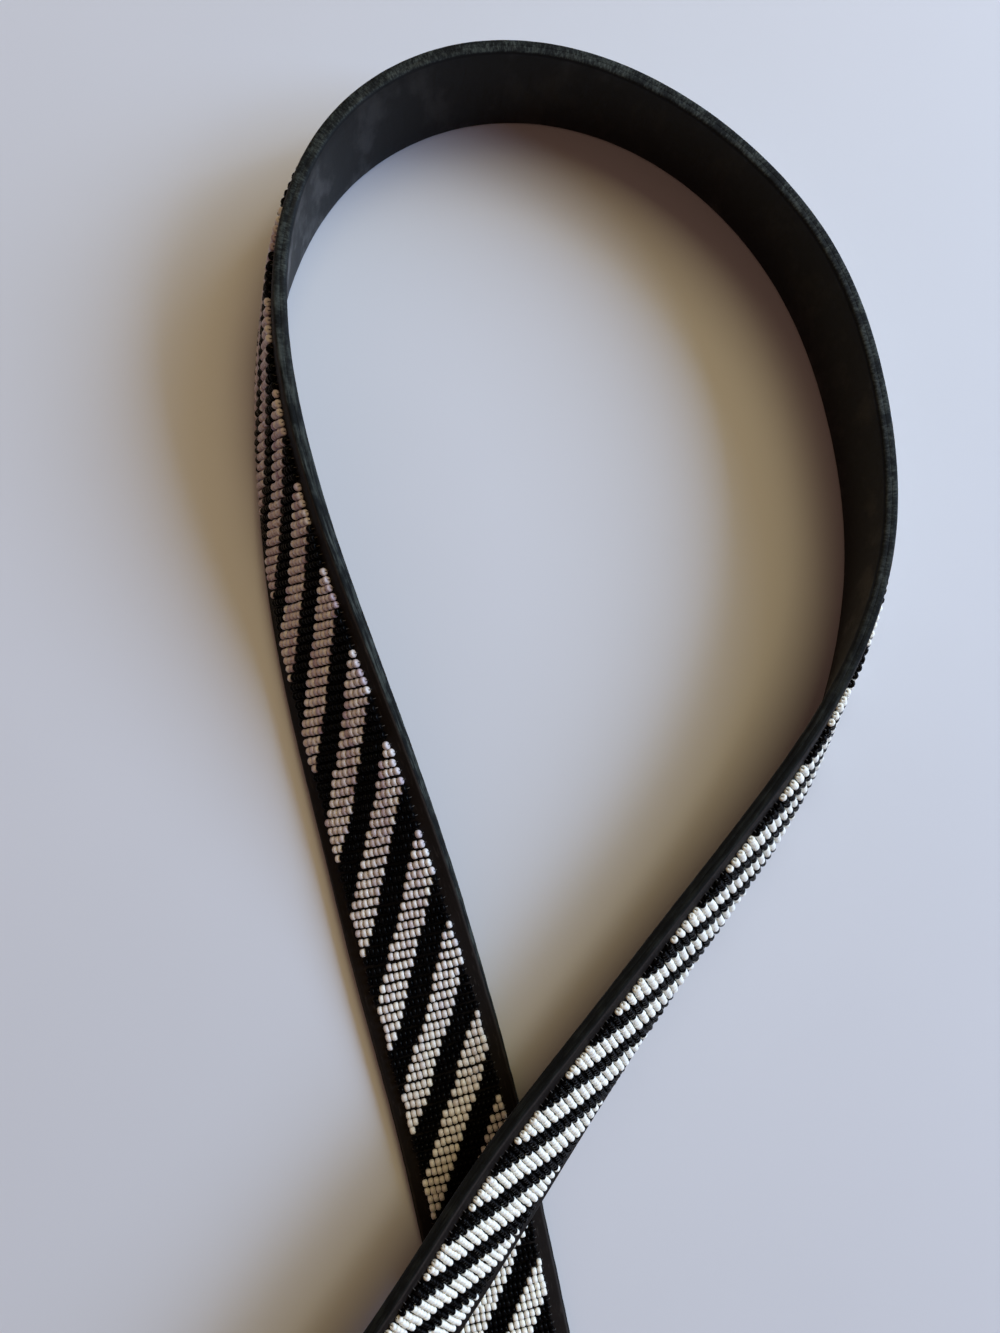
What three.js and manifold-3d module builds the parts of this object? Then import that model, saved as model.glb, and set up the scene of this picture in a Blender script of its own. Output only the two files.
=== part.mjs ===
// Beaded leather belt, lying in one open loop with its two ends crossed.
// Millimetres, +Z up. The belt rests on z = 0, most of it on its lower edge and one end flat.
import * as THREE from 'three';
import { mergeVertices } from 'three/addons/utils/BufferGeometryUtils.js';
import Module from 'manifold-3d';

const wasm = await Module();
wasm.setup();

// Leather
const strapLength = 1060;       // from the tip to where the fold round the buckle's bar begins
const strapWidth = 36;
const layerThickness = 1.85;    // each of the two leather layers
const glueLine = 0.3;           // between the two layers
const strapThickness = 2 * layerThickness + glueLine;
const tipLength = 15;           // rounded end
const stationStep = 6;          // longest facet along the strap

// Prong holes
const holeCount = 5;
const holeRadius = 2.25;
const holePitch = 19;
const firstHole = 52;           // from the tip
const holeSides = 16;

// Beadwork
const beadsWidth = 27.7;
const beadsThickness = 2;
const beadsCrown = 0.5;         // how much lower the panel's long edges are than its middle
const beadsSeat = 0.3;          // gap under the beadwork
const beadsStart = 150;         // plain leather from the tip to the first row of beads
const beadsToFold = 50;         // plain leather from the last row to the fold

// Buckle
const barSize = 3.2;            // the bar's height and depth, and the frame's thickness
const frameBevel = 0.9;
const frameClearance = 1;       // between the strap's edge and the frame's side
const railWidth = 5;
const farRailWidth = 6;
const frameReach = 24;          // opening from the bar to the far rail
const frameCorner = 6;
const prongWidth = 3.2;
const prongThickness = 2.2;
const prongOverhang = 1.5;      // past the far rail's outer edge

// Fold of the outer leather round the bar
const barClearance = 0.3;
const foldRamp = 16;            // length over which the outer layer rises to the bar
const foldTail = 24;            // what comes back under the strap, from the fold's start
const foldButt = 0.5;           // gap between the tail and the inner layer's end
const slotClearance = 0.6;      // each side of the prong
const slotLength = 9;           // from the bar back along the strap
const rampStations = 6;
const bendStations = 10;

// Where one end rides over the other
const crossingGap = 1.2;
const crossingLift = strapThickness + beadsSeat + beadsThickness + crossingGap;

// The way the strap runs, a row for each equal stretch from the tip to the buckle.
// heading: direction of travel to the next row, in degrees from +X
// lean: 0 stands on its lower edge, 90 lies flat with the beads up
// lift: of the lower edge off the ground, as a share of crossingLift
const route = [
  { heading: 60, lean: 66, lift: 0 },
  { heading: 58, lean: 62, lift: 0 },
  { heading: 56, lean: 58, lift: 0.2 },
  { heading: 55, lean: 54, lift: 0.8 },
  { heading: 54, lean: 50, lift: 1.3 },
  { heading: 56, lean: 48, lift: 1.5 },
  { heading: 52, lean: 49, lift: 0.9 },
  { heading: 53, lean: 40, lift: 0.2 },
  { heading: 52, lean: 35, lift: 0 },
  { heading: 61, lean: 32, lift: 0 },
  { heading: 75, lean: 17, lift: 0 },
  { heading: 96, lean: 4, lift: 0 },
  { heading: 108, lean: 0, lift: 0 },
  { heading: 131, lean: -2, lift: 0 },
  { heading: 151, lean: 2, lift: 0 },
  { heading: 177, lean: 0, lift: 0 },
  { heading: 210, lean: -6, lift: 0 },
  { heading: 247, lean: -6, lift: 0 },
  { heading: 272, lean: 5, lift: 0 },
  { heading: 280, lean: 17, lift: 0 },
  { heading: 286, lean: 36, lift: 0 },
  { heading: 287, lean: 52, lift: 0 },
  { heading: 285, lean: 66, lift: 0 },
  { heading: 286, lean: 83, lift: 0 },
  { heading: 282, lean: 90, lift: 0 },
  { heading: 282, lean: 90, lift: 0 },
  { heading: 282, lean: 90, lift: 0 },
  { heading: 282, lean: 90, lift: 0 },
  { heading: 282, lean: 90, lift: 0 },
];

const radians = THREE.MathUtils.degToRad;
const spans = route.length - 3;

function controlRows() {
  const step = strapLength / spans;
  const place = new THREE.Vector2();
  return route.map(({ heading, lean, lift }) => {
    const row = { x: place.x, y: place.y, lean: radians(lean), lift: lift * crossingLift };
    place.x += step * Math.cos(radians(heading));
    place.y += step * Math.sin(radians(heading));
    return row;
  });
}

const rows = controlRows();

// Uniform cubic B-spline of one column at u spans from the tip.
function column(name, u) {
  const first = Math.min(Math.max(Math.floor(u), 0), spans - 1);
  const t = u - first;
  const weights = [(1 - t) ** 3, 3 * t ** 3 - 6 * t ** 2 + 4, -3 * t ** 3 + 3 * t ** 2 + 3 * t + 1, t ** 3];
  return weights.reduce((sum, weight, k) => sum + (weight / 6) * rows[first + k][name], 0);
}

// Middle of the strap's section, high enough that its lowest corner is lift above the ground.
function centre(u) {
  const lean = column('lean', u);
  const stand = (strapWidth / 2) * Math.abs(Math.cos(lean)) + (strapThickness / 2) * Math.abs(Math.sin(lean));
  return new THREE.Vector3(column('x', u), column('y', u), stand + column('lift', u));
}

// Place and directions of the section: along the strap, out of its beaded face, across to its upper edge.
function sectionAt(u) {
  const near = 0.01;
  const before = centre(Math.max(u - near, 0));
  const along = centre(Math.min(u + near, spans)).sub(before).normalize();
  const up = new THREE.Vector3(0, 0, 1);
  const side = along.clone().cross(up).normalize();
  const rise = side.clone().cross(along);
  const lean = column('lean', u);
  const out = side.clone().multiplyScalar(Math.cos(lean)).addScaledVector(rise, Math.sin(lean));
  const across = rise.clone().multiplyScalar(Math.cos(lean)).addScaledVector(side, -Math.sin(lean));
  return { origin: centre(u), along, out, across, spread: 1 };
}

// Distance from the tip at many places, so that a section can be asked for by its distance.
function measureStrap() {
  const parts = spans * 40;
  const table = [{ u: 0, distance: 0 }];
  for (let k = 1; k <= parts; k += 1) {
    const u = (spans * k) / parts;
    const step = centre(u).distanceTo(centre(table[k - 1].u));
    table.push({ u, distance: table[k - 1].distance + step });
  }
  return table;
}

const measured = measureStrap();
const madeLength = measured[measured.length - 1].distance;

function sectionFromTip(distance) {
  const next = Math.max(measured.findIndex((entry) => entry.distance >= distance), 1);
  const [a, b] = [measured[next - 1], measured[next]];
  return sectionAt(a.u + ((b.u - a.u) * (distance - a.distance)) / (b.distance - a.distance));
}

// Every piece has its sections at the same distances from the tip, apart from its own two ends.
function sectionsBetween(from, to) {
  const distances = [from];
  for (let station = stationStep; station < to; station += stationStep) {
    if (Math.min(station - from, to - station) > stationStep / 4) distances.push(station);
  }
  distances.push(to);
  return distances.map(sectionFromTip);
}

// Rounded end: the width follows a quarter ellipse.
function tipSections() {
  return [15, 30, 45, 60, 75].map((angle) => {
    const section = sectionFromTip(tipLength * (1 - Math.cos(radians(angle))));
    section.spread = Math.sin(radians(angle));
    return section;
  });
}

// Closed solid from a convex outline of [across, out] points carried through the sections.
// Each face is split from its lower to its upper edge, so that faces that lie together stay parallel.
function sweep(outline, sections) {
  const positions = [];
  const index = [];
  const n = outline.length;
  for (const { origin, out, across, spread } of sections) {
    for (const [a, o] of outline) {
      const point = origin.clone().addScaledVector(across, a * spread).addScaledVector(out, o);
      positions.push(point.x, point.y, point.z);
    }
  }
  for (let row = 0; row < sections.length - 1; row += 1) {
    for (let k = 0; k < n; k += 1) {
      const next = (k + 1) % n;
      const a = row * n + k;
      const b = row * n + next;
      const rising = outline[next][0] >= outline[k][0];
      if (rising) index.push(a, b, b + n, a, b + n, a + n);
      else index.push(a, b, a + n, b, b + n, a + n);
    }
  }
  const last = (sections.length - 1) * n;
  for (let k = 1; k < n - 1; k += 1) {
    index.push(0, k + 1, k);
    index.push(last, last + k, last + k + 1);
  }
  const geometry = new THREE.BufferGeometry();
  geometry.setAttribute('position', new THREE.Float32BufferAttribute(positions, 3));
  geometry.setIndex(index);
  return geometry;
}

function layerOutline(inner, outer) {
  const half = strapWidth / 2;
  return [[-half, inner], [0, inner], [half, inner], [half, outer], [0, outer], [-half, outer]];
}

function toSolid(geometry) {
  const bare = geometry.clone();
  bare.deleteAttribute('normal');
  bare.deleteAttribute('uv');
  const merged = mergeVertices(bare, 1e-4);
  const vertProperties = new Float32Array(merged.getAttribute('position').array);
  const triVerts = new Uint32Array(merged.getIndex().array);
  return new wasm.Manifold(new wasm.Mesh({ numProp: 3, vertProperties, triVerts }));
}

function toGeometry(solid) {
  const { vertProperties, triVerts } = solid.getMesh();
  const geometry = new THREE.BufferGeometry();
  geometry.setAttribute('position', new THREE.BufferAttribute(vertProperties, 3));
  geometry.setIndex(new THREE.BufferAttribute(triVerts, 1));
  return geometry;
}

// Puts a shape drawn with Y along the strap and Z out of its beaded face on a section.
function seatOn({ origin, along, out }) {
  return new THREE.Matrix4().makeBasis(along.clone().cross(out), along, out).setPosition(origin);
}

function cutHoles(solid) {
  let cut = solid;
  for (let k = 0; k < holeCount; k += 1) {
    const seat = seatOn(sectionFromTip(firstHole + k * holePitch));
    const punch = new THREE.CylinderGeometry(holeRadius, holeRadius, 2 * strapThickness, holeSides);
    punch.rotateX(Math.PI / 2).applyMatrix4(seat);
    cut = cut.subtract(toSolid(punch));
  }
  return cut;
}

// The bar lies inside the fold, whose underside is level with the strap's.
const barCorner = Math.hypot(barSize / 2, barSize / 2 - frameBevel);
const bendRadius = barCorner + barClearance + layerThickness / 2;
const layerMiddle = (glueLine + layerThickness) / 2;
const barHeight = bendRadius - layerMiddle;
const foldStart = sectionAt(spans);

// Section in the fold: ahead and height from the fold's start, facing the given angle from straight ahead.
function foldSection(ahead, height, angle) {
  const origin = foldStart.origin.clone().addScaledVector(foldStart.along, ahead);
  origin.addScaledVector(foldStart.out, height);
  const out = foldStart.along.clone().multiplyScalar(Math.cos(angle));
  out.addScaledVector(foldStart.out, Math.sin(angle));
  return { origin, out, across: foldStart.across, spread: 1 };
}

// The outer layer's middle: a cosine ramp up to the bar, half a turn round it, then straight back.
function foldSections() {
  const top = barHeight + bendRadius;
  const climb = top - layerMiddle;
  const sections = [];
  for (let k = 1; k < rampStations; k += 1) {
    const t = k / rampStations;
    const slope = Math.atan2((climb * Math.PI * Math.sin(Math.PI * t)) / 2, foldRamp);
    const height = layerMiddle + (climb * (1 - Math.cos(Math.PI * t))) / 2;
    sections.push(foldSection(foldRamp * t, height, Math.PI / 2 + slope));
  }
  for (let k = 0; k <= bendStations; k += 1) {
    const angle = Math.PI / 2 - (Math.PI * k) / bendStations;
    const ahead = foldRamp + bendRadius * Math.cos(angle);
    sections.push(foldSection(ahead, barHeight + bendRadius * Math.sin(angle), angle));
  }
  sections.push(foldSection(-foldTail, -layerMiddle, -Math.PI / 2));
  return sections;
}

// Slot through the top and front of the bend, for the prong.
function slotCutter() {
  const width = prongWidth + 2 * slotClearance;
  const depth = slotLength + 2 * bendRadius;
  const height = 4 * bendRadius;
  const box = new THREE.BoxGeometry(width, depth, height);
  const ahead = foldRamp - slotLength + depth / 2;
  const bottom = barHeight - prongThickness / 2 - slotClearance;
  box.translate(0, ahead, bottom + height / 2).applyMatrix4(seatOn(foldStart));
  return toSolid(box);
}

function leatherFront() {
  const half = layerThickness / 2;
  const strap = [...tipSections(), ...sectionsBetween(tipLength, madeLength)];
  const raised = strap.map((section) => {
    const origin = section.origin.clone().addScaledVector(section.out, layerMiddle);
    return { ...section, origin };
  });
  const whole = sweep(layerOutline(-half, half), [...raised, ...foldSections()]);
  return toGeometry(cutHoles(toSolid(whole)).subtract(slotCutter()));
}

function leatherBack() {
  const sections = [...tipSections(), ...sectionsBetween(tipLength, madeLength - foldTail - foldButt)];
  const whole = sweep(layerOutline(-strapThickness / 2, -glueLine / 2), sections);
  return toGeometry(cutHoles(toSolid(whole)));
}

function beadPanel() {
  const half = beadsWidth / 2;
  const foot = strapThickness / 2 + beadsSeat;
  const top = foot + beadsThickness;
  const shoulder = half - beadsThickness;
  const side = top - beadsCrown;
  const outline = [
    [-half, foot], [0, foot], [half, foot], [half, side], [shoulder, top], [0, top], [-shoulder, top], [-half, side],
  ];
  return sweep(outline, sectionsBetween(beadsStart, madeLength - beadsToFold));
}

function roundedRectangle(path, halfWidth, from, to, corner) {
  path.moveTo(-halfWidth + corner, from);
  path.lineTo(halfWidth - corner, from);
  path.absarc(halfWidth - corner, from + corner, corner, -Math.PI / 2, 0, false);
  path.lineTo(halfWidth, to - corner);
  path.absarc(halfWidth - corner, to - corner, corner, 0, Math.PI / 2, false);
  path.lineTo(-halfWidth + corner, to);
  path.absarc(-halfWidth + corner, to - corner, corner, Math.PI / 2, Math.PI, false);
  path.lineTo(-halfWidth, from + corner);
  path.absarc(-halfWidth + corner, from + corner, corner, Math.PI, 1.5 * Math.PI, false);
  return path;
}

// Drawn with the bar's middle at the origin, X along the bar and Y towards the far rail.
function buckleFrame() {
  const innerHalf = strapWidth / 2 + frameClearance;
  const near = barSize / 2;
  const far = near + frameReach;
  const outline = roundedRectangle(new THREE.Shape(), innerHalf + railWidth, -near, far + farRailWidth, frameCorner);
  outline.holes.push(roundedRectangle(new THREE.Path(), innerHalf, near, far, frameBevel));
  const frame = new THREE.ExtrudeGeometry(outline, {
    depth: barSize - 2 * frameBevel,
    bevelThickness: frameBevel,
    bevelSize: frameBevel,
    bevelOffset: -frameBevel,
    bevelSegments: 1,
    curveSegments: 4,
  });
  return frame.translate(0, 0, frameBevel - barSize / 2);
}

// Side view of the prong: from the bar up and over the far rail, with its tip bent down.
function buckleProng() {
  const half = prongThickness / 2;
  const farEdge = barSize / 2 + frameReach + farRailWidth;
  const railTop = barSize / 2;
  const restStart = farEdge - farRailWidth;
  const tip = farEdge + prongOverhang;
  const side = new THREE.Shape();
  side.moveTo(-half, -half);
  side.lineTo(half, -half);
  side.lineTo(restStart, railTop - frameBevel / 2);
  side.lineTo(farEdge - frameBevel, railTop - frameBevel / 2);
  side.lineTo(tip, railTop - frameBevel);
  side.lineTo(farEdge, railTop + prongThickness * 0.6);
  side.lineTo(restStart, railTop + prongThickness);
  side.lineTo(half, half + frameBevel / 2);
  side.lineTo(-half, half);
  const prong = new THREE.ExtrudeGeometry(side, { depth: prongWidth, bevelEnabled: false, curveSegments: 4 });
  const [across, ahead, up] = [new THREE.Vector3(1, 0, 0), new THREE.Vector3(0, 1, 0), new THREE.Vector3(0, 0, 1)];
  return prong.translate(0, 0, -prongWidth / 2).applyMatrix4(new THREE.Matrix4().makeBasis(ahead, up, across));
}

function buckle() {
  return toGeometry(toSolid(buckleFrame()).add(toSolid(buckleProng())));
}

const blackLeather = { color: 0x1c1b1b, roughness: 0.55, metalness: 0 };
const innerLeather = { color: 0x242628, roughness: 0.5, metalness: 0 };
const glassBeads = { color: 0x8d8781, roughness: 0.3, metalness: 0 };
const plainSteel = { color: 0xb4b3ae, roughness: 0.3, metalness: 1 };

function named(name, geometry, look) {
  const mesh = new THREE.Mesh(geometry, new THREE.MeshStandardMaterial(look));
  mesh.name = name;
  return mesh;
}

// The buckle hangs on its bar and leans down until its far rail meets the ground.
function placedBuckle() {
  const group = new THREE.Group();
  group.add(named('buckle', buckle(), plainSteel));
  const ground = strapThickness / 2 + barHeight - barSize / 2;
  const droop = Math.asin(ground / (frameReach + farRailWidth));
  const place = new THREE.Matrix4().makeTranslation(0, foldRamp, barHeight);
  const lean = new THREE.Matrix4().makeRotationX(-droop);
  group.applyMatrix4(seatOn(foldStart).multiply(place).multiply(lean));
  return group;
}

const belt = new THREE.Group();
belt.add(named('leather_front', leatherFront(), blackLeather));
belt.add(named('leather_back', leatherBack(), innerLeather));
belt.add(named('bead_panel', beadPanel(), glassBeads));
belt.add(placedBuckle());

// The origin is under the middle of the whole belt, on the ground.
const bounds = new THREE.Box3().setFromObject(belt, true);
const middle = bounds.getCenter(new THREE.Vector3());
belt.position.set(-middle.x, -middle.y, -bounds.min.z);

export default belt;
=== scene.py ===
import math

import bpy
import numpy as np
from mathutils import Matrix, Vector


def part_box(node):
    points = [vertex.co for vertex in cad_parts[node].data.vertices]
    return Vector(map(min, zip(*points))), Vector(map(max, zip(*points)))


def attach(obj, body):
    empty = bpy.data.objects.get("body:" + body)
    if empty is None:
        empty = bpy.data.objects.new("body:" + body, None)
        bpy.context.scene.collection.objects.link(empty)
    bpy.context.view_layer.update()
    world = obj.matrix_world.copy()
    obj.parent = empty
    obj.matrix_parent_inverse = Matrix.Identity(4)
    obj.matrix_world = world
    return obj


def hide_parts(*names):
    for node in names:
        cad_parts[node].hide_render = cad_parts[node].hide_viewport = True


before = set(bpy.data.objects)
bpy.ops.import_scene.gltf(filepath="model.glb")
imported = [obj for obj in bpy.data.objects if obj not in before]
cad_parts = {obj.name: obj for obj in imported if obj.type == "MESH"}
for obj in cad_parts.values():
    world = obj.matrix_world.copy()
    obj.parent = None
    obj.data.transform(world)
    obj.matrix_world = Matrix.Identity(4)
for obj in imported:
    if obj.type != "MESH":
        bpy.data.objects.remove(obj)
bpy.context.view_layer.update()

print("belt: frame loaded, nodes", ", ".join(sorted(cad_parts)))

mm = 0.001

# Sizes in millimetres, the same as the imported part's.
strap = {
    "length": 1060,
    "width": 36,
    "layer": 1.85,       # each of the two leather layers
    "glueLine": 0.3,
    "tip": 15,           # length of the rounded end
    "station": 6,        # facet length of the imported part
    "crossingLift": 7.5,
    "spanSteps": 40,     # fineness of the table of distances
    "pathStep": 0.5,     # and of the paths
}

# The way the strap runs, a row for each equal stretch from the tip to the buckle:
# heading and lean in degrees, and the lift of the lower edge as a share of crossingLift.
route = np.array([
    (60, 66, 0), (58, 62, 0), (56, 58, 0.2), (55, 54, 0.8), (54, 50, 1.3), (56, 48, 1.5), (52, 49, 0.9),
    (53, 40, 0.2), (52, 35, 0), (61, 32, 0), (75, 17, 0), (96, 4, 0), (108, 0, 0), (131, -2, 0),
    (151, 2, 0), (177, 0, 0), (210, -6, 0), (247, -6, 0), (272, 5, 0), (280, 17, 0), (286, 36, 0),
    (287, 52, 0), (285, 66, 0), (286, 83, 0), (282, 90, 0), (282, 90, 0), (282, 90, 0), (282, 90, 0),
    (282, 90, 0),
])
spans = len(route) - 3
thickness = 2 * strap["layer"] + strap["glueLine"]
layerMiddle = (strap["glueLine"] + strap["layer"]) / 2


# Rows of the route: running sums of equal steps along each heading, the lean in radians, the lift in mm.
def controlRows():
    step = strap["length"] / spans
    heading = np.radians(route[:, 0])
    x = np.concatenate(([0], np.cumsum(np.cos(heading))[:-1])) * step
    y = np.concatenate(([0], np.cumsum(np.sin(heading))[:-1])) * step
    return np.stack([x, y, np.radians(route[:, 1]), route[:, 2] * strap["crossingLift"]], axis=1)


rows = controlRows()


# Uniform cubic B-spline: four neighbouring rows blended by the usual third-degree weights.
def splineAt(u):
    first = np.clip(np.floor(u), 0, spans - 1).astype(int)
    t = (u - first)[:, None]
    weights = [(1 - t) ** 3, 3 * t ** 3 - 6 * t ** 2 + 4, -3 * t ** 3 + 3 * t ** 2 + 3 * t + 1, t ** 3]
    return sum(weights[k] / 6 * rows[first + k] for k in range(4))


# Middle of the strap: half the leaning section's height above its lowest corner, plus the lift.
def centreAt(u):
    x, y, lean, lift = splineAt(u).T
    stand = strap["width"] / 2 * np.abs(np.cos(lean)) + thickness / 2 * np.abs(np.sin(lean))
    return np.stack([x, y, stand + lift], axis=1)


# Each row divided by its length.
def unit(v):
    return v / np.linalg.norm(v, axis=1, keepdims=True)


# Section frame: along by a small difference, side level, then side and rise turned by the lean.
def sectionsAt(u):
    near = 0.01
    along = unit(centreAt(np.minimum(u + near, spans)) - centreAt(np.maximum(u - near, 0)))
    side = unit(np.cross(along, [0.0, 0.0, 1.0]))
    rise = np.cross(side, along)
    lean = splineAt(u)[:, 2:3]
    out = side * np.cos(lean) + rise * np.sin(lean)
    across = rise * np.cos(lean) - side * np.sin(lean)
    return centreAt(u), along, out, across


# Distance from the tip: summed lengths of short steps, turned round to give u for a distance.
uTable = np.linspace(0, spans, spans * strap["spanSteps"] + 1)
distanceTable = np.concatenate(([0], np.cumsum(np.linalg.norm(np.diff(centreAt(uTable), axis=0), axis=1))))
madeLength = distanceTable[-1]


def uFromTip(distance):
    return np.interp(distance, distanceTable, uTable)


# Fold of the outer layer round the buckle's bar, and the buckle itself.
fold = {
    "barSize": 3.2,
    "barBevel": 0.9,
    "clearance": 0.3,
    "ramp": 16,
    "tail": 24,
    "butt": 0.5,
    "slotLength": 9,
    "slotHalfWidth": 2.2,
    "prongThickness": 2.2,
    "slotClearance": 0.6,
    "rampSteps": 40,     # points of the line below
    "bendSteps": 48,
    "tailSteps": 40,
}
barCorner = math.hypot(fold["barSize"] / 2, fold["barSize"] / 2 - fold["barBevel"])
bendRadius = barCorner + fold["clearance"] + strap["layer"] / 2
barHeight = bendRadius - layerMiddle


# Where the strap lies in the frame: the inner layer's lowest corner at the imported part's own stations,
# the rounded tip's among them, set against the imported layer's box.
def frameShift():
    angle = np.radians([15, 30, 45, 60, 75, 90])
    buttEnd = madeLength - fold["tail"] - fold["butt"]
    plain = np.arange(strap["tip"] + strap["station"] / 2, buttEnd, strap["station"])
    stations = np.concatenate([strap["tip"] * (1 - np.cos(angle)), plain, [buttEnd]])
    half = strap["width"] / 2 * np.concatenate([np.sin(angle), np.ones(len(plain) + 1)])[:, None]
    origin, along, out, across = sectionsAt(uFromTip(stations))
    corners = []
    for side in (-half, half):
        for height in (-thickness / 2, -strap["glueLine"] / 2):
            corners.append(origin + across * side + out * height)
    low = np.concatenate(corners).min(axis=0)
    return np.array(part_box("leather_back")[0]) / mm - low


shift = frameShift()
print("belt: strap", round(madeLength, 1), "mm long, shift", np.round(shift, 3))


# Middle line of the outer layer in the fold, as ahead and height from the fold's start, with the angle
# its face looks at: a cosine ramp, half a circle round the bar, and a straight run back.
def foldLine():
    climb = barHeight + bendRadius - layerMiddle
    t = np.linspace(0, 1, fold["rampSteps"] + 1)[1:]
    ramp = np.stack([
        fold["ramp"] * t,
        layerMiddle + climb * (1 - np.cos(np.pi * t)) / 2,
        np.pi / 2 + np.arctan2(climb * np.pi * np.sin(np.pi * t) / 2, fold["ramp"]),
    ], axis=1)
    angle = np.linspace(np.pi / 2, -np.pi / 2, fold["bendSteps"] + 1)[1:]
    bend = np.stack([
        fold["ramp"] + bendRadius * np.cos(angle),
        barHeight + bendRadius * np.sin(angle),
        angle,
    ], axis=1)
    ahead = np.linspace(fold["ramp"], -fold["tail"], fold["tailSteps"] + 1)[1:]
    tail = np.stack([ahead, np.full_like(ahead, -layerMiddle), np.full_like(ahead, -np.pi / 2)], axis=1)
    return np.concatenate([ramp, bend, tail])


# A path is a fine table of places and directions; what is drawn in strap space is carried along it.
def makePath(height, folded):
    distance = np.append(np.arange(0, madeLength, strap["pathStep"]), madeLength)
    origin, along, out, across = sectionsAt(uFromTip(distance))
    origin = origin + out * height
    if folded:
        start = sectionsAt(np.array([float(spans)]))
        line = foldLine()
        turned = np.cos(line[:, 2:]) * start[1] + np.sin(line[:, 2:]) * start[2]
        placed = start[0] + line[:, 0:1] * start[1] + line[:, 1:2] * start[2]
        steps = np.linalg.norm(np.diff(np.concatenate([origin[-1:], placed]), axis=0), axis=1)
        distance = np.concatenate([distance, madeLength + np.cumsum(steps)])
        origin = np.concatenate([origin, placed])
        out = np.concatenate([out, turned])
        across = np.concatenate([across, np.repeat(start[3], len(line), axis=0)])
    return {"distance": distance, "origin": origin, "out": out, "across": across}


# From strap space (along, across, out, in mm) to the frame, in metres.
def carry(path, places):
    def look(name):
        columns = path[name].T
        return np.stack([np.interp(places[:, 0], path["distance"], column) for column in columns], axis=1)

    point = look("origin") + look("across") * places[:, 1:2] + look("out") * places[:, 2:3]
    return (point + shift) * mm


outerPath = makePath(layerMiddle, True)
innerPath = makePath(-layerMiddle, False)
midPath = makePath(0, False)
foldEnd = outerPath["distance"][-1]


# Sum of a few sine waves of unlike lengths: a smooth uneven line between about -1 and 1.
def uneven(x, seed, lengths):
    phase = np.random.default_rng(seed).uniform(0, 2 * np.pi, len(lengths))
    return sum(np.sin(2 * np.pi * x / length + p) for length, p in zip(lengths, phase)) / len(lengths)


# Closed tube over a grid of rings (stations x ring points) with a flat cap at each end.
def ringFaces(stations, ring):
    k = np.arange(ring)
    s = np.arange(stations - 1)[:, None]
    a = s * ring + k
    b = s * ring + (k + 1) % ring
    sides = np.stack([a, b, b + ring, a + ring], axis=-1).reshape(-1, 4)
    last = (stations - 1) * ring
    return sides.tolist() + [list(range(ring))[::-1], list(range(last, last + ring))]


# A mesh from points and faces, its object at the origin.
def meshObject(name, points, faces, material=None):
    mesh = bpy.data.meshes.new(name)
    mesh.from_pydata(points.tolist(), [], faces)
    mesh.update()
    item = bpy.data.objects.new(name, mesh)
    bpy.context.collection.objects.link(item)
    if material:
        mesh.materials.append(material)
    return item


def smoothShading(mesh, angle):
    mesh.polygons.foreach_set("use_smooth", np.ones(len(mesh.polygons), dtype=bool))
    mesh.set_sharp_from_angle(angle=math.radians(angle))
    mesh.update()


def pointValues(mesh, name, values):
    kind = "FLOAT_VECTOR" if values.ndim > 1 else "FLOAT"
    layer = mesh.attributes.new(name, kind, "POINT")
    layer.data.foreach_set("vector" if values.ndim > 1 else "value", values.astype(np.float32).ravel())


# Shader maths
# A signal wraps an output socket, and an expression on signals adds the Math nodes.
class Signal:
    def __init__(self, finish, socket):
        self.finish = finish
        self.socket = socket

    def math(self, operation, *values):
        return self.finish.node("ShaderNodeMath", {"operation": operation}, *values)

    def __add__(self, other):
        return self.math("ADD", self, other)

    def __sub__(self, other):
        return self.math("SUBTRACT", self, other)

    def __mul__(self, other):
        return self.math("MULTIPLY", self, other)

    def __rsub__(self, other):
        return self.math("SUBTRACT", other, self)

    __radd__ = __add__
    __rmul__ = __mul__

    def absolute(self):
        return self.math("ABSOLUTE", self)

    def clamped(self):
        return self.math("MINIMUM", self.math("MAXIMUM", self, 0.0), 1.0)


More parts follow.
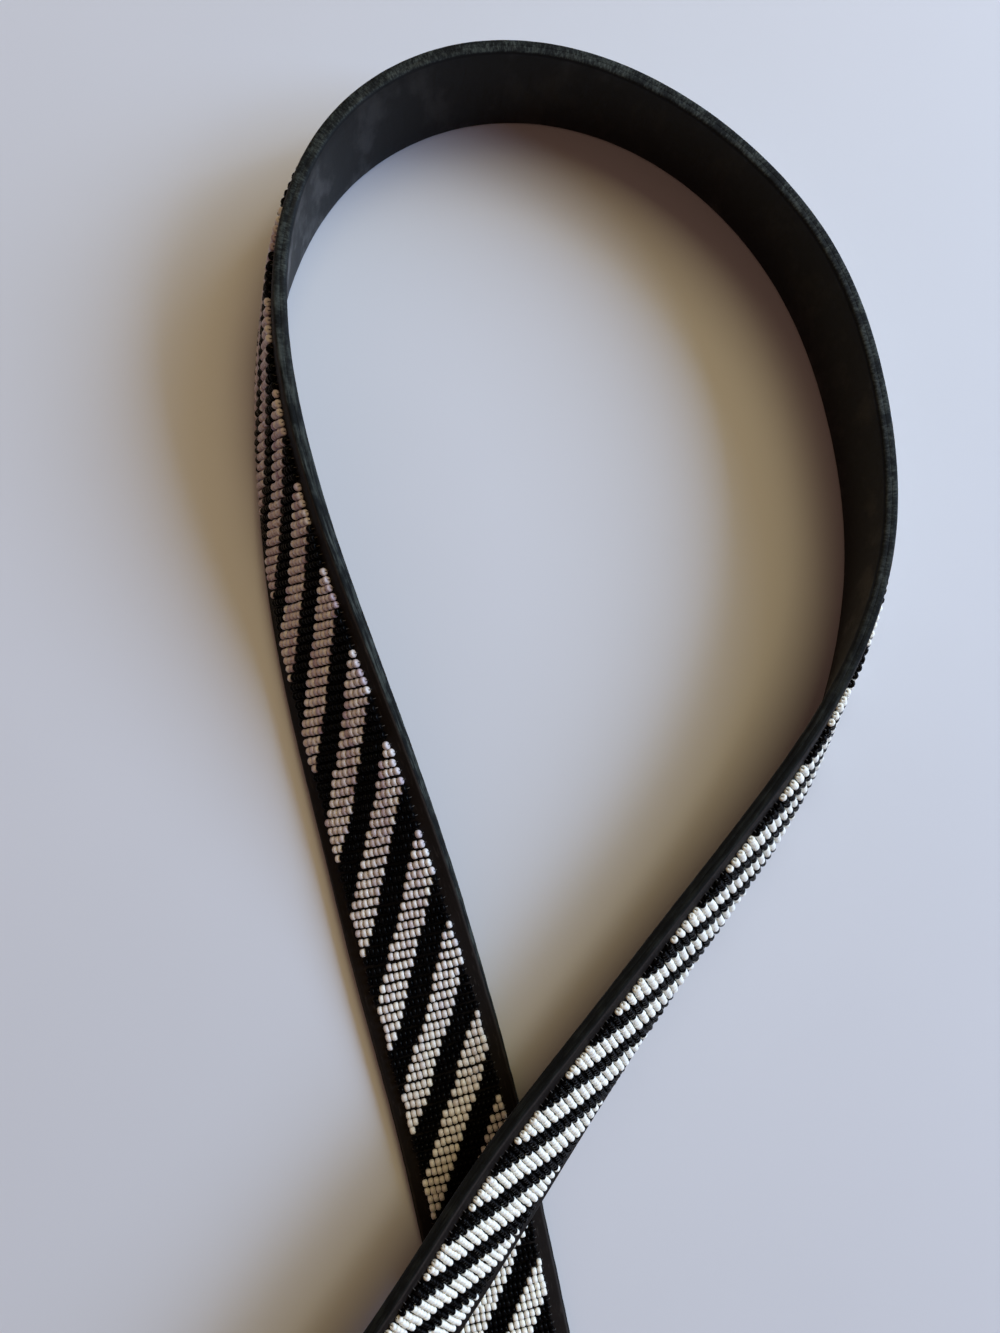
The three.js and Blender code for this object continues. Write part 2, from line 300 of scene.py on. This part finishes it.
class Finish:
    def __init__(self, name, **fixed):
        self.material = bpy.data.materials.new(name)
        self.material.use_nodes = True
        self.tree = self.material.node_tree
        self.surface = self.tree.nodes["Principled BSDF"]
        for socket, value in fixed.items():
            self.surface.inputs[socket.replace("_", " ")].default_value = value

    # One call for any node: its type, its settings first, then its sockets by order or by name.
    def node(self, kind, settings=None, *values, output=0, **named):
        made = self.tree.nodes.new(kind)
        for key, value in (settings or {}).items():
            if key == "stops":
                self.rampStops(made.color_ramp, value)
            else:
                setattr(made, key, value)
        pairs = list(enumerate(values)) + [(key.replace("_", " "), value) for key, value in named.items()]
        for key, value in pairs:
            self.connect(made.inputs[key], value)
        return Signal(self, made.outputs[output])

    def rampStops(self, ramp, stops):
        for k, (place, colour) in enumerate(stops):
            stop = ramp.elements[k] if k < 2 else ramp.elements.new(place)
            stop.position = place
            stop.color = (*colour, 1.0)

    def connect(self, socket, value):
        if isinstance(value, Signal):
            self.tree.links.new(value.socket, socket)
        elif hasattr(value, "__len__") and len(value) == 3 and socket.type == "RGBA":
            socket.default_value = (*value, 1.0)
        else:
            socket.default_value = value

    def set(self, **sockets):
        for name, value in sockets.items():
            self.connect(self.surface.inputs[name.replace("_", " ")], value)

    def attribute(self, name):
        return self.node("ShaderNodeAttribute", {"attribute_name": name}, output="Vector")

    def value(self, name):
        return self.node("ShaderNodeAttribute", {"attribute_name": name}, output="Fac")

    def parts(self, vector):
        made = self.node("ShaderNodeSeparateXYZ", None, vector)
        outputs = made.socket.node.outputs
        return [Signal(self, outputs[k]) for k in range(3)]

    def stretched(self, vector, factors):
        return self.node("ShaderNodeVectorMath", {"operation": "MULTIPLY"}, vector, factors)

    def noise(self, vector, scale, detail=3.0, roughness=0.5):
        return self.node("ShaderNodeTexNoise", None, output="Fac",
                         Vector=vector, Scale=scale, Detail=detail, Roughness=roughness)

    def blend(self, factor, first, second):
        mixed = self.node("ShaderNodeMix", {"data_type": "RGBA"}, factor, output=2)
        inputs = mixed.socket.node.inputs
        self.connect(inputs[6], first)
        self.connect(inputs[7], second)
        return mixed

    def step(self, value, low, high, start=0.0, end=1.0):
        smooth = {"interpolation_type": "SMOOTHSTEP"}
        return self.node("ShaderNodeMapRange", smooth, value, low, high, start, end)

    def bump(self, height, distance, strength=1.0):
        return self.node("ShaderNodeBump", None, output="Normal", Strength=strength, Distance=distance,
                         Height=height)


# Materials
# The cut edge: fibres across the thickness, paler and rougher round the loop than on the two legs. The
# darker, smoother edge on the two legs is partly their own finish and partly painted shade.
def cutEdge(made, place, along):
    fibre = made.noise(made.stretched(place, (1.5, 1.0, 0.6)), 1.3, 6.0, 0.7)
    streak = made.noise(made.stretched(place, (0.12, 1.0, 1.6)), 1.2, 4.0, 0.6)
    fluff = made.noise(place, 0.16, 4.0, 0.6)
    legs = made.step(along, 430.0, 330.0) + made.step(along, 650.0, 760.0)
    loop = made.step(along, 330.0, 430.0) * (1 - made.step(along, 860.0, 980.0))
    grain = made.blend(legs, fibre, streak)
    # Pale flecks, mostly round the loop; their dimming on the legs is partly painted shade.
    pale = made.step(grain * 0.6 + fluff * 0.4, 0.44, 0.66) * (0.22 + loop * 0.78)
    return fibre, made.blend(pale, (0.003, 0.0035, 0.003), (0.056, 0.063, 0.052))


# Leather reads its place on the strap in mm (along, across, out), so grain and edge follow the strap.
def outerLeather():
    made = Finish("outer leather", Specular_IOR_Level=0.14)
    place = made.attribute("strapPlace")
    along, across, out = made.parts(place)
    edge = made.step(across.absolute(), strap["width"] / 2 - 0.55, strap["width"] / 2 - 0.2)
    grain = made.noise(place, 1.6, 5.0, 0.6)
    blotch = made.noise(place, 0.22, 3.0)
    scuff = made.step(made.noise(made.stretched(place, (0.25, 1.6, 1.0)), 0.9, 4.0), 0.56, 0.75)
    face = made.blend(blotch, (0.005, 0.004, 0.0035), (0.012, 0.008, 0.006))
    # A paler line along the face's rounded corner: partly wear, and partly a painted highlight where the
    # rounding catches light.
    corner = made.step(across.absolute(), strap["width"] / 2 - 1.1, strap["width"] / 2 - 0.6) * (1 - edge)
    face = made.blend(scuff * 0.5 + corner * grain, face, (0.040, 0.032, 0.027))
    fibre, cut = cutEdge(made, place, along)
    made.set(Base_Color=made.blend(edge, face, cut))
    made.set(Roughness=0.50 + grain * 0.25 + edge * 0.1)
    height = grain * (1 - edge * 0.4) + edge * fibre * 1.4
    made.set(Normal=made.bump(height, 0.12 * mm, 0.8))
    return made.material


def innerLeather():
    made = Finish("inner leather", Specular_IOR_Level=0.17)
    place = made.attribute("strapPlace")
    along, across, out = made.parts(place)
    edge = made.step(across.absolute(), strap["width"] / 2 - 0.5, strap["width"] / 2 - 0.15)
    grain = made.noise(place, 2.2, 4.0, 0.55)
    creases = made.noise(made.stretched(place, (1.0, 0.14, 1.0)), 0.16, 3.0)
    blotch = made.noise(place, 0.12, 2.0)
    face = made.blend(blotch, (0.0020, 0.0022, 0.0022), (0.0050, 0.0054, 0.0054))
    fibre, cut = cutEdge(made, place, along)
    # Paler patches from 560 to 720 mm along: the lighter colour is painted sheen where the window glances off
    # the inner face, and the lower roughness there is the leather's own.
    rubbedAndSheen = made.step(made.noise(made.stretched(place, (1.0, 0.45, 1.0)), 0.09, 4.0, 0.6), 0.48, 0.68)
    face = made.blend((rubbedAndSheen * 0.6 + 0.4) * made.step(along, 560.0, 720.0), face, (0.028, 0.028, 0.028))
    made.set(Base_Color=made.blend(edge, face, cut))
    made.set(Roughness=0.52 - rubbedAndSheen * 0.18 + grain * 0.12 + edge * 0.15)
    height = grain * 0.25 + creases * 5.0 + edge * fibre * 1.2
    made.set(Normal=made.bump(height, 0.10 * mm, 0.8))
    return made.material


# Opaque glass: each bead has its own value (0 white to 1 tan) in a point attribute. On the white beads, the
# tan-pink end is partly the glass's tone and partly painted shade.
def whiteGlass():
    made = Finish("opaque white glass", Specular_IOR_Level=0.4)
    tint = made.value("beadToneAndShade")
    mottle = made.noise(made.node("ShaderNodeTexCoord", None, output="Object"), 900.0, 2.0)
    shade = (tint + (mottle - 0.5) * 0.25).clamped()
    # The tan-pink colour is partly painted shade on the beads that lean away from the window.
    made.set(Base_Color=made.blend(shade, (0.95, 0.92, 0.80), (0.34, 0.22, 0.30)))
    made.set(Roughness=0.24 + mottle * 0.12)
    return made.material


def blackGlass():
    made = Finish("black glass", Specular_IOR_Level=0.045)
    tint = made.value("beadToneAndShade")
    made.set(Base_Color=made.blend(tint, (0.0008, 0.0008, 0.001), (0.003, 0.0027, 0.0027)))
    made.set(Roughness=0.09 + tint * 0.07)
    return made.material


def waxedThread():
    made = Finish("waxed thread", Roughness=0.7)
    fine = made.noise(made.node("ShaderNodeTexCoord", None, output="Object"), 3000.0, 2.0)
    made.set(Base_Color=made.blend(fine, (0.025, 0.020, 0.016), (0.070, 0.058, 0.046)))
    return made.material


def polishedSteel():
    made = Finish("polished steel", Metallic=1.0)
    where = made.node("ShaderNodeTexCoord", None, output="Object")
    brush = made.noise(made.stretched(where, (1.0, 0.06, 1.0)), 2600.0, 4.0)
    haze = made.noise(where, 160.0, 3.0)
    made.set(Base_Color=made.blend(haze, (0.42, 0.45, 0.50), (0.55, 0.59, 0.65)))
    made.set(Roughness=0.24 + brush * 0.12 + haze * 0.12)
    made.set(Normal=made.bump(brush, 0.02 * mm, 0.3))
    return made.material


def paleFloor():
    made = Finish("pale floor", Roughness=0.6)
    where = made.node("ShaderNodeTexCoord", None, output="Object")
    made.set(Base_Color=made.blend(made.noise(where, 8.0, 3.0), (0.66, 0.655, 0.66), (0.71, 0.70, 0.71)))
    return made.material


finishes = {
    "outer": outerLeather(),
    "inner": innerLeather(),
    "white": whiteGlass(),
    "black": blackGlass(),
    "thread": waxedThread(),
    "steel": polishedSteel(),
}
print("belt: materials made")

# Camera: where the photograph was taken from, in mm, looking almost straight down.
cameraPlace = {
    "position": (-27.21, 65.37, 348.61),
    "tilt": 1.033,        # degrees, towards the top of the loop
    "turn": 5.467,        # degrees, towards the leg that leans outwards
    "focalPixels": 1200,
    "imageHeight": 1333,
    "sensor": 36,
}


def addCamera():
    data = bpy.data.cameras.new("belt camera")
    data.sensor_width = cameraPlace["sensor"]
    data.lens = cameraPlace["sensor"] * cameraPlace["focalPixels"] / cameraPlace["imageHeight"]
    data.clip_start = 0.01
    tilt, turn = math.radians(cameraPlace["tilt"]), math.radians(cameraPlace["turn"])
    right = Vector((math.cos(turn), 0, math.sin(turn)))
    down = Vector((math.sin(turn), 0, -math.cos(turn)))
    ahead = down * math.cos(tilt) + Vector((0, 1, 0)) * math.sin(tilt)
    up = Vector((0, 1, 0)) * math.cos(tilt) - down * math.sin(tilt)
    camera = bpy.data.objects.new("belt camera", data)
    camera.matrix_world = Matrix.Translation(Vector(cameraPlace["position"]) * mm) @ Matrix(
        (right, up, -ahead)).transposed().to_4x4()
    bpy.context.collection.objects.link(camera)
    bpy.context.scene.camera = camera


addCamera()

# Leather
leather = {
    "outerRound": 1.15,   # rounding of the strap's outer corners
    "innerRound": 0.08,   # at the glue line
    "seam": 0.02,         # what is left open at the glue line
    "edgeWave": 0.12,     # unevenness of the cut edge
    "wrinkle": 0.07,      # of the inner face, where it is bent
    "flatPoints": 9,      # across each flat face
    "cornerPoints": 5,    # round each corner
    "tipTurns": (8, 84, 9),    # first and last turn of the tip's ellipse in degrees, and how many
    "station": 1.5,
    "foldStation": 0.6,
    "leastStep": 0.5,     # the shortest step before an end
    "edgeZone": 2,        # width of the strip at each edge that waves
    "creaseSlant": 2,     # how far a wrinkle wanders along the strap
    "sharpFrom": 38,      # degrees between faces
}


# Ring of one layer in strap space: flat faces, a quarter circle at each corner, anticlockwise seen
# from the tip. The face side looks to +out, the glue side to -out.
def layerRing(glueSide, faceSide, glueRound, faceRound):
    half = strap["width"] / 2
    count = leather["flatPoints"]
    flat = np.linspace(-1, 1, count)

    def corner(a, o, radius, start):
        angle = np.radians(start + np.linspace(0, 90, leather["cornerPoints"]))
        return np.stack([a + radius * np.cos(angle), o + radius * np.sin(angle)], axis=1)

    lower = np.stack([flat * (half - glueRound), np.full(count, glueSide)], axis=1)[1:-1]
    upper = np.stack([-flat * (half - faceRound), np.full(count, faceSide)], axis=1)[1:-1]
    return np.concatenate([
        lower,
        corner(half - glueRound, glueSide + glueRound, glueRound, -90),
        corner(half - faceRound, faceSide - faceRound, faceRound, 0),
        upper,
        corner(-half + faceRound, faceSide - faceRound, faceRound, 90),
        corner(-half + glueRound, glueSide + glueRound, glueRound, 180),
    ])


# Straight layer: the ring at every station, narrowed by a quarter ellipse at the tip.
def straightLayer(ring, stations):
    share = np.clip(1 - stations / strap["tip"], 0, 1)
    spread = np.sqrt(1 - share ** 2)
    along = np.repeat(stations, len(ring))
    across = np.outer(spread, ring[:, 0]).ravel()
    out = np.tile(ring[:, 1], len(stations))
    return np.stack([along, across, out], axis=1)


# Stations: equal turns of the tip's quarter ellipse, even steps along the strap, finer ones in the fold.
def layerStations(end, folded):
    tip = strap["tip"] * (1 - np.cos(np.radians(np.linspace(*leather["tipTurns"]))))
    plain = np.arange(strap["tip"], min(end, madeLength), leather["station"])
    if not folded:
        return np.concatenate([tip, plain[plain < end - leather["leastStep"]], [end]])
    bend = np.arange(madeLength, end, leather["foldStation"])
    return np.concatenate([tip, plain[plain < madeLength - leather["leastStep"]], bend, [end]])


# Prong holes: round rods across the strap, with the slot's block, taken away by a Boolean.
holes = {"count": 5, "radius": 2.25, "pitch": 19, "first": 52, "sides": 48, "cutDepth": 4}


# A rod: two rings of points on a circle, one below and one above the strap.
def rod(place, radius, sides, height):
    angle = np.linspace(0, 2 * np.pi, sides, endpoint=False)
    ring = np.stack([place + radius * np.cos(angle), radius * np.sin(angle)], axis=1)
    return np.concatenate([np.c_[ring, np.full(sides, -height)], np.c_[ring, np.full(sides, height)]])


def holeCutter(withSlot):
    points, faces = [], []
    depth = holes["cutDepth"]
    for k in range(holes["count"]):
        points.append(rod(holes["first"] + k * holes["pitch"], holes["radius"], holes["sides"], depth))
        start = sum(len(p) for p in points[:-1])
        faces += [[i + start for i in face] for face in ringFaces(2, holes["sides"])]
    if withSlot:
        line = outerPath["distance"][outerPath["distance"] > madeLength] - madeLength
        steps = fold["rampSteps"]
        first = np.interp(fold["ramp"] - fold["slotLength"], foldLine()[:, 0][:steps], line[:steps])
        below = fold["prongThickness"] / 2 + fold["slotClearance"]
        last = line[steps - 1] + bendRadius * (np.pi / 2 + math.asin(below / bendRadius))
        half = fold["slotHalfWidth"]
        corners = np.array([(first, -half), (last, -half), (last, half), (first, half)])
        corners[:, 0] += madeLength
        start = sum(len(p) for p in points)
        points.append(np.concatenate([np.c_[corners, np.full(4, -depth)], np.c_[corners, np.full(4, depth)]]))
        faces += [[i + start for i in face] for face in ringFaces(2, 4)]
    return meshObject("holeCutter", np.concatenate(points), faces)


# The cutter is taken away once, and what is left becomes the layer's own mesh.
def cutHoles(layer, withSlot):
    cutter = holeCutter(withSlot)
    cut = layer.modifiers.new("holes", "BOOLEAN")
    cut.operation = "DIFFERENCE"
    cut.solver = "EXACT"
    cut.object = cutter
    whole = layer.evaluated_get(bpy.context.evaluated_depsgraph_get())
    mesh = bpy.data.meshes.new_from_object(whole)
    layer.modifiers.clear()
    layer.data = mesh
    bpy.data.objects.remove(cutter)


# A layer is drawn straight, cut, waved by sums of sines at its edges and carried along its path.
def leatherLayer(name, node, finish, path, height, ring, end, folded):
    stations = layerStations(end, folded)
    straight = straightLayer(ring, stations)
    layer = meshObject(name, straight, ringFaces(len(stations), len(ring)))
    cutHoles(layer, folded)
    mesh = layer.data
    places = np.empty(len(mesh.vertices) * 3)
    mesh.vertices.foreach_get("co", places)
    places = places.reshape(-1, 3)
    onStrap = places + [0, 0, height]
    along, across, out = places.T
    zone = leather["edgeZone"]
    nearEdge = np.clip((np.abs(across) - (strap["width"] / 2 - zone)) / zone, 0, 1)
    wave = uneven(along, 3, (97, 41, 23, 11.3, 6.1)) * leather["edgeWave"]
    worn = places.copy()
    worn[:, 1] += np.where(across > 0, wave, np.abs(wave)) * nearEdge
    if not folded:
        creased = along + leather["creaseSlant"] * np.sin(across / 9)
        wrinkle = uneven(creased, 11, (17, 9.1, 5.3, 3.7)) * leather["wrinkle"]
        worn[:, 2] += np.where(out < 0, wrinkle * (1 - nearEdge), 0)
    mesh.vertices.foreach_set("co", carry(path, worn).ravel())
    pointValues(mesh, "strapPlace", onStrap)
    mesh.materials.clear()
    mesh.materials.append(finish)
    smoothShading(mesh, leather["sharpFrom"])
    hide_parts(node)
    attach(layer, "root")
    print("belt:", name, len(mesh.polygons), "faces")
    return layer


half = strap["layer"] / 2
gluedTo = half + strap["glueLine"] / 2 - leather["seam"] / 2
outerRing = layerRing(-gluedTo, half, leather["innerRound"], leather["outerRound"])
innerRing = layerRing(-half, gluedTo, leather["outerRound"], leather["innerRound"])
leatherLayer("outer_layer", "leather_front", finishes["outer"],
             outerPath, layerMiddle, outerRing, foldEnd, True)
leatherLayer("inner_layer", "leather_back", finishes["inner"],
             innerPath, -layerMiddle, innerRing, madeLength - fold["tail"] - fold["butt"], False)

# Beadwork: rows of glass beads across the strap, ten rows to a repeat of the stripe pattern.
beads = {
    "start": 150,             # mm from the tip
    "toFold": 50,
    "columns": 18,
    "repeat": 10,
    "stripe": 5,
    "diameter": 2.25,
    "hole": 0.3,
    "whiteLength": 1.65,
    "blackLength": 1.43,
    "flatten": 0.95,          # how much lower than wide a bead is
    "seat": 0.06,             # gap under the beads
    "crown": 0.6,             # how much lower the outer beads of a row sit
    "halfRow": 14,            # where the crown counts, from the row's middle
    "columnPitch": 1.54,
    "slantFrom": 13,          # the place across that a slanting row turns about
    "sides": 10,
    "fill": 0.95,             # share of its row's pitch that a bead fills
    "squeezeRange": (0.8, 1.03),
    "endRoom": 0.4,           # free share of a row's pitch at each end of the beadwork
    "evenRows": 0.7,          # how far the rows are brought to one length
    "lengthSpread": 0.055,    # spreads: the scatter from bead to bead, or from row to row
    "sizeSpread": 0.04,
    "placeSpread": 0.08,
    "heightSpread": 0.045,
    "turnSpread": 0.035,
    "tintSpread": 0.05,
    "tanAndShadePatches": 0.48,
    "rowPlaceSpread": 0.09,
    "rowAcrossSpread": 0.16,
    "seed": 4,
}
# How far the rows slant back towards the tip at the lower edge, as a share of the width: distance, slant.
rowSlant = np.array([(150, 0.18), (258, 0.18), (284, 0.14), (308, 0.10), (345, 0.04), (400, 0)])
# How far the rows sit towards the upper edge: distance, shift in mm.
rowShift = np.array([(150, 1.5), (190, 1.2), (230, 0.5), (280, 0), (320, -0.6), (345, -2.4), (375, -3.0),
                     (430, -3.0), (470, -2.0), (660, -2.0), (720, -0.6), (745, 0)])
# How tan the white beads are: distance, tint. This is partly the beads' own tone. The high values from 700 to
# 880 mm are painted shade, where that leg leans away from the window.
whiteTanAndShade = np.array([(150, 0.02), (400, 0.05), (700, 0.60), (820, 0.58), (880, 0.33), (940, 0.12),
                      (1003, 0.03)])
# Where every so many stripes begin at the strap's upper edge: distance from the tip, stripe number.
stripeStarts = np.array([
    (174, 0), (214.5, 2), (258, 4), (307.5, 6), (357, 8), (745.5, 24), (792, 26), (844.5, 28), (900, 30),
    (951, 32), (973.5, 33),
])


# Row places: distance as a function of the row number, straight between the stripes' starts.
def rowPlaces():
    number = stripeStarts[:, 1] * beads["repeat"]
    distance = stripeStarts[:, 0]
    firstPitch = (distance[1] - distance[0]) / (number[1] - number[0])
    lastPitch = (distance[-1] - distance[-2]) / (number[-1] - number[-2])
    room = beads["endRoom"]
    before = math.floor((distance[0] - beads["start"]) / firstPitch - room)
    after = math.floor((madeLength - beads["toFold"] - distance[-1]) / lastPitch - room)
    row = np.arange(-before, number[-1] + after + 1)
    place = np.interp(row, number, distance)
    place = np.where(row < 0, distance[0] + row * firstPitch, place)
    place = np.where(row > number[-1], distance[-1] + (row - number[-1]) * lastPitch, place)
    return row, place


# One bead about its hole: a barrel's profile (place along the hole, radius) turned round.
def beadShape():
    hole = beads["hole"] / beads["diameter"]
    profile = np.array([
        (-0.47, hole), (-0.425, 0.74), (-0.22, 0.98),
        (0.22, 0.98), (0.425, 0.74), (0.47, hole),
    ])
    angle = np.linspace(0, 2 * np.pi, beads["sides"], endpoint=False)
    radius = profile[:, 1][:, None] * beads["diameter"] / 2
    shape = np.stack([
        radius * np.cos(angle),
        np.repeat(profile[:, 0][:, None], beads["sides"], axis=1),
        radius * np.sin(angle),
    ], axis=-1).reshape(-1, 3)
    p = np.arange(len(profile))[:, None]
    k = np.arange(beads["sides"])
    following = (p + 1) % len(profile)
    around = (k + 1) % beads["sides"]
    n = beads["sides"]
    quads = np.stack([p * n + k, following * n + k, following * n + around, p * n + around], axis=-1)
    return shape, quads.reshape(-1, 4)


# How much lower a bead sits away from the row's middle: the crown times the fourth power of its place.
def crownDrop(local):
    return beads["crown"] * np.abs(local / beads["halfRow"]) ** 4


# All beads of the field: colour by (row - column) within the repeat, place across by summed lengths.
def layOutBeads():
    chance = np.random.default_rng(beads["seed"])
    row, distance = rowPlaces()
    column = np.arange(beads["columns"])
    white = (row[:, None] - column) % beads["repeat"] < beads["stripe"]
    length = np.where(white, beads["whiteLength"], beads["blackLength"])
    length = length * chance.normal(1, beads["lengthSpread"], white.shape)
    total = length.sum(axis=1, keepdims=True)
    length = length * (beads["columns"] * beads["columnPitch"] / total) ** beads["evenRows"]
    total = length.sum(axis=1, keepdims=True)
    offset = chance.normal(0, beads["rowAcrossSpread"], (len(row), 1))
    offset = offset + np.interp(distance, *rowShift.T)[:, None]
    across = total / 2 - np.cumsum(length, axis=1) + length / 2 + offset
    along = distance[:, None] + chance.normal(0, beads["placeSpread"], white.shape)
    along = along + chance.normal(0, beads["rowPlaceSpread"], (len(row), 1))
    size = chance.normal(1, beads["sizeSpread"], white.shape)
    pitch = np.gradient(distance)[:, None]
    squeeze = size * np.clip(pitch * beads["fill"] / beads["diameter"], *beads["squeezeRange"])
    lift = thickness / 2 + beads["seat"] + beads["diameter"] / 2
    height = lift - crownDrop(across - offset) + chance.normal(0, beads["heightSpread"], white.shape)
    slant = np.interp(distance, *rowSlant.T)[:, None]
    along = along + slant * (across - beads["slantFrom"])
    turn = chance.normal(0, beads["turnSpread"], white.shape) + np.arctan(-slant)
    # Uneven patches of that tan, plus a scatter from bead to bead: on the white beads this is partly their
    # tone and partly painted shade.
    patches = uneven(distance[:, None] + 3.5 * across, 5, (31, 17, 11.3)) * beads["tanAndShadePatches"]
    toneAndShade = np.interp(distance, *whiteTanAndShade.T)[:, None] * (1 + patches)
    toneAndShade = toneAndShade + chance.normal(0, beads["tintSpread"], white.shape)
    toneAndShade = np.where(white, toneAndShade, chance.uniform(0, 1, white.shape))
    return {"white": white, "length": length, "across": across, "along": along, "size": size,
            "squeeze": squeeze, "height": height, "turn": turn, "toneAndShade": toneAndShade, "distance": distance,
            "middle": offset, "half": total / 2}


# Beads of one colour and stretch as one mesh: every bead's points are worked out at once in strap space.
def beadMesh(name, field, chosen, finish):
    shape, quads = beadShape()
    length, across, along, size, squeeze, height, turn, toneAndShade = (field[key][chosen][:, None] for key in (
        "length", "across", "along", "size", "squeeze", "height", "turn", "toneAndShade"))
    x = shape[:, 0] * squeeze
    y = shape[:, 1] * length
    z = shape[:, 2] * size * beads["flatten"]
    places = np.stack([
        along + x * np.cos(turn) - y * np.sin(turn),
        across + x * np.sin(turn) + y * np.cos(turn),
        height + z,
    ], axis=-1)
    count = len(length)
    points = carry(midPath, places.reshape(-1, 3))
    faces = (quads + (np.arange(count) * len(shape))[:, None, None]).reshape(-1, 4)
    item = meshObject(name, points, faces.tolist(), finish)
    pointValues(item.data, "beadToneAndShade", np.repeat(toneAndShade[:, 0], len(shape)))
    item.data.polygons.foreach_set("use_smooth", np.ones(len(faces), dtype=bool))
    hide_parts("bead_panel")
    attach(item, "root")
    print("belt:", name, count, "beads,", 2 * len(faces), "triangles")


def addBeads():
    field = layOutBeads()
    stretches = {"tip_leg": (0, 400), "loop": (400, 720), "buckle_leg": (720, 2000)}
    for name, (low, high) in stretches.items():
        inside = (field["distance"] >= low) & (field["distance"] < high)
        inside = np.repeat(inside[:, None], beads["columns"], axis=1)
        beadMesh("white_beads_" + name, field, field["white"] & inside, finishes["white"])
        beadMesh("black_beads_" + name, field, ~field["white"] & inside, finishes["black"])
    return field


field = addBeads()

# Thread: one through each row's holes, down into the leather past the row's two ends.
thread = {
    "diameter": 0.24,
    "sides": 5,
    "reach": 0.4,        # how far past the last bead it goes down
    "sink": 0.25,        # depth of its ends in the leather
    "dropSpread": 0.2,   # keeps the points of a low end apart
    # The bend at each end, from its low end inwards: share of the reach, drop in mm.
    "bend": [(1, -1.3), (1, -0.7), (0.9, -0.2), (0.55, 0.0), (0, 0.0)],
}


# Path of each thread in strap space: a straight run through the beads that bends down at each end.
def addThreads():
    bend = np.array(thread["bend"])
    reach = np.concatenate([bend[:, 0], [0], -bend[::-1, 0]])
    side = np.concatenate([np.ones(len(bend)), [0], -np.ones(len(bend))])
    drop = np.concatenate([bend[:, 1], [0], bend[::-1, 1]])
    local = side * field["half"] + reach * thread["reach"]
    across = field["middle"] + local
    level = thickness / 2 + beads["seat"] + beads["diameter"] / 2 - crownDrop(local)
    lowest = thickness / 2 - thread["sink"] + thread["dropSpread"] * (drop - drop.min())
    height = np.maximum(level + drop, lowest)
    slant = np.interp(field["distance"], *rowSlant.T)[:, None]
    along = field["distance"][:, None] + slant * (across - beads["slantFrom"])
    run = np.stack([along, across, height], axis=-1)
    tangent = np.gradient(run, axis=1)
    tangent = tangent / np.linalg.norm(tangent, axis=-1, keepdims=True)
    first = np.broadcast_to([1.0, 0.0, 0.0], run.shape)
    second = np.cross(tangent, first)
    angle = np.linspace(0, 2 * np.pi, thread["sides"], endpoint=False)
    radius = thread["diameter"] / 2
    rings = run[:, :, None] + radius * (first[:, :, None] * np.cos(angle)[:, None]
                                        + second[:, :, None] * np.sin(angle)[:, None])
    stations = run.shape[1]
    oneRun = ringFaces(stations, thread["sides"])
    points = carry(midPath, rings.reshape(-1, 3))
    size = stations * thread["sides"]
    faces = [[i + k * size for i in face] for k in range(len(run)) for face in oneRun]
    item = meshObject("row_threads", points, faces, finishes["thread"])
    item.data.polygons.foreach_set("use_smooth", np.ones(len(faces), dtype=bool))
    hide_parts("bead_panel")
    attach(item, "root")
    print("belt: threads", len(faces), "faces")


addThreads()

# Buckle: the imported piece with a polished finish.
buckle = bpy.data.objects["buckle"]
buckle.data.materials.clear()
buckle.data.materials.append(finishes["steel"])

# Floor and light: a low cool window to the right, a warm wall above it and a dim warm room.
stage = {
    "size": 6.0,
    "middle": (0, 0.05, 0),
    "distance": 2.8,
    "panel": 1.4,
    "roomColour": (1.0, 0.60, 0.46),
    "roomStrength": 0.165,
    "wallColour": (0.50, 0.50, 0.55),    # what a low view sees behind the floor
}
# Soft panels: bearing and height in degrees as seen from the belt, power in watts, colour.
panels = {
    "window": (10, 33, 67, (0.43, 0.63, 1.0)),
    "window_side": (35, 33, 47.5, (0.58, 0.77, 1.0)),
    "upper_wall": (60, 60, 22.5, (1.0, 0.86, 0.48)),
}


def addFloor():
    edge = stage["size"] / 2
    corners = np.array([(-edge, -edge, 0), (edge, -edge, 0), (edge, edge, 0), (-edge, edge, 0)])
    meshObject("floor", corners, [[0, 1, 2, 3]], paleFloor())


def addPanel(name, bearing, height, power, colour):
    data = bpy.data.lights.new(name, "AREA")
    data.shape = "SQUARE"
    data.size = stage["panel"]
    data.energy = power
    data.color = colour
    bearing, height = math.radians(bearing), math.radians(height)
    level = math.cos(height)
    away = Vector((level * math.cos(bearing), level * math.sin(bearing), math.sin(height)))
    lamp = bpy.data.objects.new(name, data)
    lamp.location = Vector(stage["middle"]) + away * stage["distance"]
    lamp.rotation_mode = "QUATERNION"
    lamp.rotation_quaternion = away.to_track_quat("Z", "Y")
    bpy.context.collection.objects.link(lamp)


# Light from all round, and a plain colour that only the camera sees.
def addRoom(colour, strength):
    world = bpy.data.worlds.new("studio")
    bpy.context.scene.world = world
    world.use_nodes = True
    tree = world.node_tree
    light = tree.nodes["Background"]
    light.inputs["Color"].default_value = (*colour, 1)
    light.inputs["Strength"].default_value = strength
    wall = tree.nodes.new("ShaderNodeBackground")
    wall.inputs["Color"].default_value = (*stage["wallColour"], 1)
    seen = tree.nodes.new("ShaderNodeLightPath")
    either = tree.nodes.new("ShaderNodeMixShader")
    tree.links.new(seen.outputs["Is Camera Ray"], either.inputs["Fac"])
    tree.links.new(light.outputs["Background"], either.inputs[1])
    tree.links.new(wall.outputs["Background"], either.inputs[2])
    tree.links.new(either.outputs["Shader"], tree.nodes["World Output"].inputs["Surface"])


addFloor()
for name, settings in panels.items():
    addPanel(name, *settings)
addRoom(stage["roomColour"], stage["roomStrength"])
bpy.context.scene.view_settings.view_transform = "Standard"
print("belt: floor and light added")
